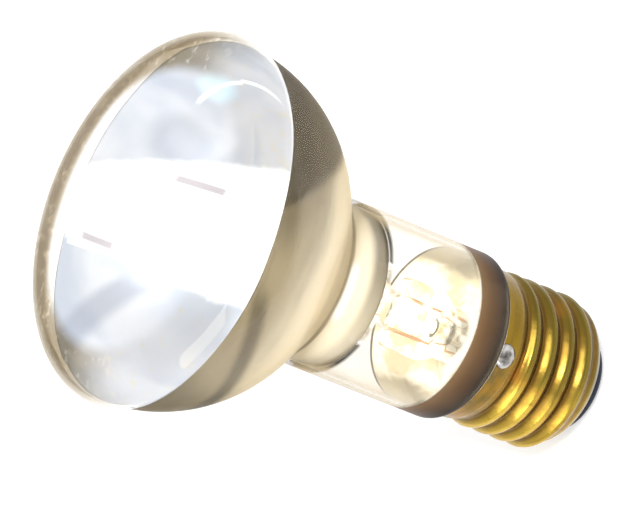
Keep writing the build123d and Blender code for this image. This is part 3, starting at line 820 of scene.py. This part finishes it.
def moulded_insulator():
    """Black glass of the cap's end: a rounded flange below the shell, and a body above its opening.

    The turned profile runs from under the contact out along the flange's face, round its edge and up
    to the shell, through the opening, out and up the body, over its top and down the wire's bore.
    """
    foot, top = (corner[2] for corner in box_mm("cap_insulator"))
    contact_r = box_mm("centre_contact")[1][0]
    start_r = contact_r - CONTACT_OVERLAP
    flange_top, shell_floor = SHELL_FOOT - FLANGE_GAP, SHELL_FOOT + SHELL_WALL
    flange = chain((start_r, foot), 0, [
        (END_OPENING_R + FLANGE_REACH - FLANGE_ROUND - start_r, 0), (FLANGE_ROUND, 90),
        (flange_top - foot - FLANGE_ROUND, 0)])
    body_r = THREAD_ROOT_R - INSULATOR_CLEARANCE
    body = [(END_OPENING_R - SMALL_GAP, flange_top), (END_OPENING_R - SMALL_GAP, shell_floor + SMALL_GAP),
            (END_OPENING_R + SMALL_GAP, shell_floor + 2 * SMALL_GAP), (body_r, top - INSULATOR_EDGE),
            (body_r - INSULATOR_EDGE, top), (INSULATOR_BORE_R, top),
            (INSULATOR_BORE_R, foot + INSULATOR_RECESS), (start_r - CONTACT_OVERLAP, foot + SMALL_GAP)]
    profile = np.vstack([flange, body, flange[:1]])
    piece = turned("moulded_insulator", profile[:, 0], profile[:, 1])
    wear(piece, black_glass())
    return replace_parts(piece, "cap_insulator")


def morphing_bar(name, sections):
    """Bar along the axis through (height, half x, half y, power) sections.

    Each section is the superellipse |x/a|^p + |y/b|^p = 1: the point at an angle is the unit
    circle's point scaled by (|cos/a|^p + |sin/b|^p)^(-1/p).
    """
    height, half_x, half_y, power = np.array(sections, float).T[:, :, None]
    half_x, half_y = np.maximum(half_x, POLE_R), np.maximum(half_y, POLE_R)
    angle = full_turn(BAR_AROUND)[None, :]
    across, beside = np.cos(angle), np.sin(angle)
    scale = (np.abs(across / half_x) ** power + np.abs(beside / half_y) ** power) ** (-1 / power)
    points = np.stack([scale * across, scale * beside, height + 0 * angle], axis=-1)
    return make_mesh(name, points, grid_faces(len(sections), BAR_AROUND))


def round_sections(outline):
    """Circular sections along an outline of radius and height."""
    return [(height, radius, radius, CIRCLE) for radius, height in outline]


def flattening(foot, rise, radius, thick, width):
    """Sections that go smoothly from a round tube to a flat bar over a rise."""
    share = np.linspace(0, 1, BLEND_STEPS)
    blend = smooth_step(share)
    return list(zip(foot + share * rise, radius + blend * (thick / 2 - radius),
                    radius + blend * (width / 2 - radius), CIRCLE + (FLAT - CIRCLE) * blend))


def flat_run(heights, thick, width):
    """Equal flat sections at the given heights."""
    return [(height, thick / 2, width / 2, FLAT) for height in heights]


def glass_stem():
    """Flare, tube and flat press of the stem in one closed surface, thin below and solid above.

    The bore ends in a dome below the press, and the top edges of the press are rounded.
    """
    press_foot = RIM + PRESS_FOOT_RISE
    rim_run = TAIL_R - FLARE_ARC - STEM_R
    outside = round_sections(chain((TAIL_R, TAIL_Z), 180, [(rim_run, 0), (FLARE_ARC, -90)]))
    outside += flattening(press_foot, PRESS_BLEND, STEM_R, PRESS_THICK, PRESS_WIDTH)
    outside += flat_run(np.linspace(press_foot + PRESS_BLEND, PRESS_TOP - PRESS_ROUND, RUN_STEPS),
                        PRESS_THICK, PRESS_WIDTH)
    for share in ROUND_SHARES:
        inset = PRESS_ROUND * (1 - sqrt(1 - share ** 2))
        outside += flat_run([PRESS_TOP - PRESS_ROUND + PRESS_ROUND * share],
                            PRESS_THICK - 2 * inset, PRESS_WIDTH - 2 * inset)
    outside.append((PRESS_TOP, 0, 0, CIRCLE))
    inside = round_sections(chain((TAIL_R, TAIL_Z - STEM_WALL), 180, [
        (rim_run, 0), (FLARE_ARC + STEM_WALL, -90)]))
    inside += round_sections(((STEM_R - STEM_WALL) * sqrt(1 - share ** 2), press_foot + share * BORE_DOME)
                             for share in np.linspace(0, 1, DOME_STEPS))
    piece = morphing_bar("glass_stem", inside[::-1] + outside)
    wear(piece, stem_glass())
    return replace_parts(piece, "stem")


def quartz_burner():
    """Burner: round body that is pinched flat at both ends, one half being the other's mirror image."""
    half = BURNER_BODY / 2
    top = half + PINCH_BLEND + PINCH_LENGTH
    side = round_sections((BURNER_R, z) for z in (
        0, *np.linspace(half * BODY_ROW_START, half, RUN_STEPS)))
    side += flattening(half, PINCH_BLEND, BURNER_R, PINCH_THICK, PINCH_WIDTH)[1:]
    side += flat_run(np.linspace(half + PINCH_BLEND, top - PINCH_END, PINCH_STEPS)[1:],
                     PINCH_THICK, PINCH_WIDTH)
    for below, inset in PINCH_ROUND:
        side += flat_run([top - below], PINCH_THICK - 2 * inset, PINCH_WIDTH - 2 * inset)
    side.append((top, 0, 0, CIRCLE))
    sections = [(BURNER_MIDDLE - z, *section) for z, *section in side[::-1]]
    sections += [(BURNER_MIDDLE + z, *section) for z, *section in side[1:]]
    piece = morphing_bar("quartz_burner", sections)
    wear(piece, lit_quartz())
    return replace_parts(piece, "burner_tube")


def frame_rod_long():
    """Long rod of the wire frame: out from the press, up beside the burner and in over its top."""
    lean, top = PRESS_TOP + ROD_FOOT, BURNER_TOP + ROD_OVER_BURNER
    route = rounded_route([
        (0, LEAD_SPREAD, PRESS_TOP), (0, LEAD_SPREAD, lean), (0, FRAME_REACH, lean + ROD_LEAN),
        (0, FRAME_REACH, top), (0, ROD_END, top)], ROD_BENDS)
    piece = wire_along("long_rod", route, ROD_R)
    wear(piece, lit_nickel())
    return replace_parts(piece, "frame_rod_long")


def floor():
    """Pale floor: plain white to the camera, with the lamp's soft shadow laid over it."""
    finish = Finish("pale floor")
    path = finish.add("ShaderNodeLightPath", {})
    seen = (path["Is Camera Ray"] + path["Is Glossy Ray"] + path["Is Transmission Ray"]).clipped()
    matt = finish.add("ShaderNodeBsdfDiffuse", {}, Color=FLOOR_TONE)["BSDF"]
    pale = finish.add("ShaderNodeEmission", {}, Color=WHITE, Strength=seen * FLOOR_GLOW)["Emission"]
    finish.show(finish.add("ShaderNodeAddShader", {}, matt, pale)[0])
    corners = [(x * FLOOR_HALF * MM, y * FLOOR_HALF * MM, -FLOOR_DEPTH * MM)
               for x, y in ((-1, -1), (1, -1), (1, 1), (-1, 1))]
    mesh = bpy.data.meshes.new("floor")
    mesh.from_pydata(corners, [], [(0, 1, 2, 3)])
    stage = bpy.data.objects.new("floor", mesh)
    bpy.context.scene.collection.objects.link(stage)
    stage.data.materials.append(finish.material)


def soft_lamp(name, place, aim, size, power):
    """Square area lamp in millimetres that faces the aim."""
    light = bpy.data.lights.new(name, "AREA")
    light.shape, light.size, light.energy = "SQUARE", size * MM, power
    lamp = bpy.data.objects.new(name, light)
    bpy.context.scene.collection.objects.link(lamp)
    lamp.location = Vector(place) * MM
    lamp.rotation_euler = (Vector(aim) * MM - lamp.location).to_track_quat("-Z", "Y").to_euler()


def studio():
    """White sky that matt surfaces see dimmer, with two large soft lamps and a small one for glints."""
    world = bpy.data.worlds.new("studio")
    bpy.context.scene.world = world
    world.use_nodes = True
    nodes = Nodes(world.node_tree)
    matt = nodes.add("ShaderNodeLightPath", {})["Is Diffuse Ray"]
    level = nodes.add("ShaderNodeMapRange", {}, Value=matt, To_Min=1.0, To_Max=SKY_ON_MATT)["Result"]
    sky = nodes.add("ShaderNodeBackground", {}, Color=WHITE, Strength=level)[0]
    nodes.add("ShaderNodeOutputWorld", {}, Surface=sky)
    for name, (place, aim, size, power) in LAMPS.items():
        soft_lamp(name, place, aim, size, power)


def camera():
    """Camera beside +X, looking down; the cap's tip falls on its place in the picture."""
    data = bpy.data.cameras.new("camera")
    data.sensor_width = SENSOR
    data.lens = SENSOR * LENS_PIXELS / PICTURE_WIDTH
    data.clip_start, data.clip_end = CAMERA_NEAR * MM, CAMERA_FAR * MM
    view = bpy.data.objects.new("camera", data)
    bpy.context.scene.collection.objects.link(view)
    height, roll = radians(CAMERA_HEIGHT_ANGLE), radians(CAMERA_ROLL)
    level = Matrix(((0, -sin(height), cos(height)), (1, 0, 0), (0, cos(height), sin(height))))
    turn = level @ Matrix.Rotation(-roll, 3, "Z")
    across, down = TIP_IN_PICTURE
    tip = Vector((across - PICTURE_WIDTH / 2, PICTURE_HEIGHT / 2 - down, -LENS_PIXELS))
    tip = tip * CAMERA_DISTANCE / LENS_PIXELS
    view.matrix_world = Matrix.Translation(-(turn @ tip) * MM) @ turn.to_4x4()
    bpy.context.scene.camera = view


def dress_frame():
    """Materials for the pieces that keep their own shape."""
    dress = {
        "centre_contact": contact_brass(),
        "centre_solder": solder(), "side_solder": solder(), "cap_cement": cement_skin(),
        "exhaust_tube": clear_tube(), "side_lead": copper(), "centre_lead": copper(),
        "fuse_sleeve": clear_tube(), "dumet_seal_side": copper(), "dumet_seal_centre": copper(),
        "frame_rod_short": lit_nickel(), "burner_foil_lower": foil(), "burner_foil_upper": foil(),
        "burner_pin_lower": foil(), "burner_pin_upper": lit_nickel(), "filament": hot_wire(),
        "filament_support_lower": foil(), "filament_support_upper": foil(),
    }
    for node, material in dress.items():
        wear(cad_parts[node], material)


bpy.context.scene.view_settings.view_transform = "Standard"
camera()
studio()
floor()
blown_bulb()
reflector_film()
screw_shell()
moulded_insulator()
glass_stem()
quartz_burner()
frame_rod_long()
dress_frame()
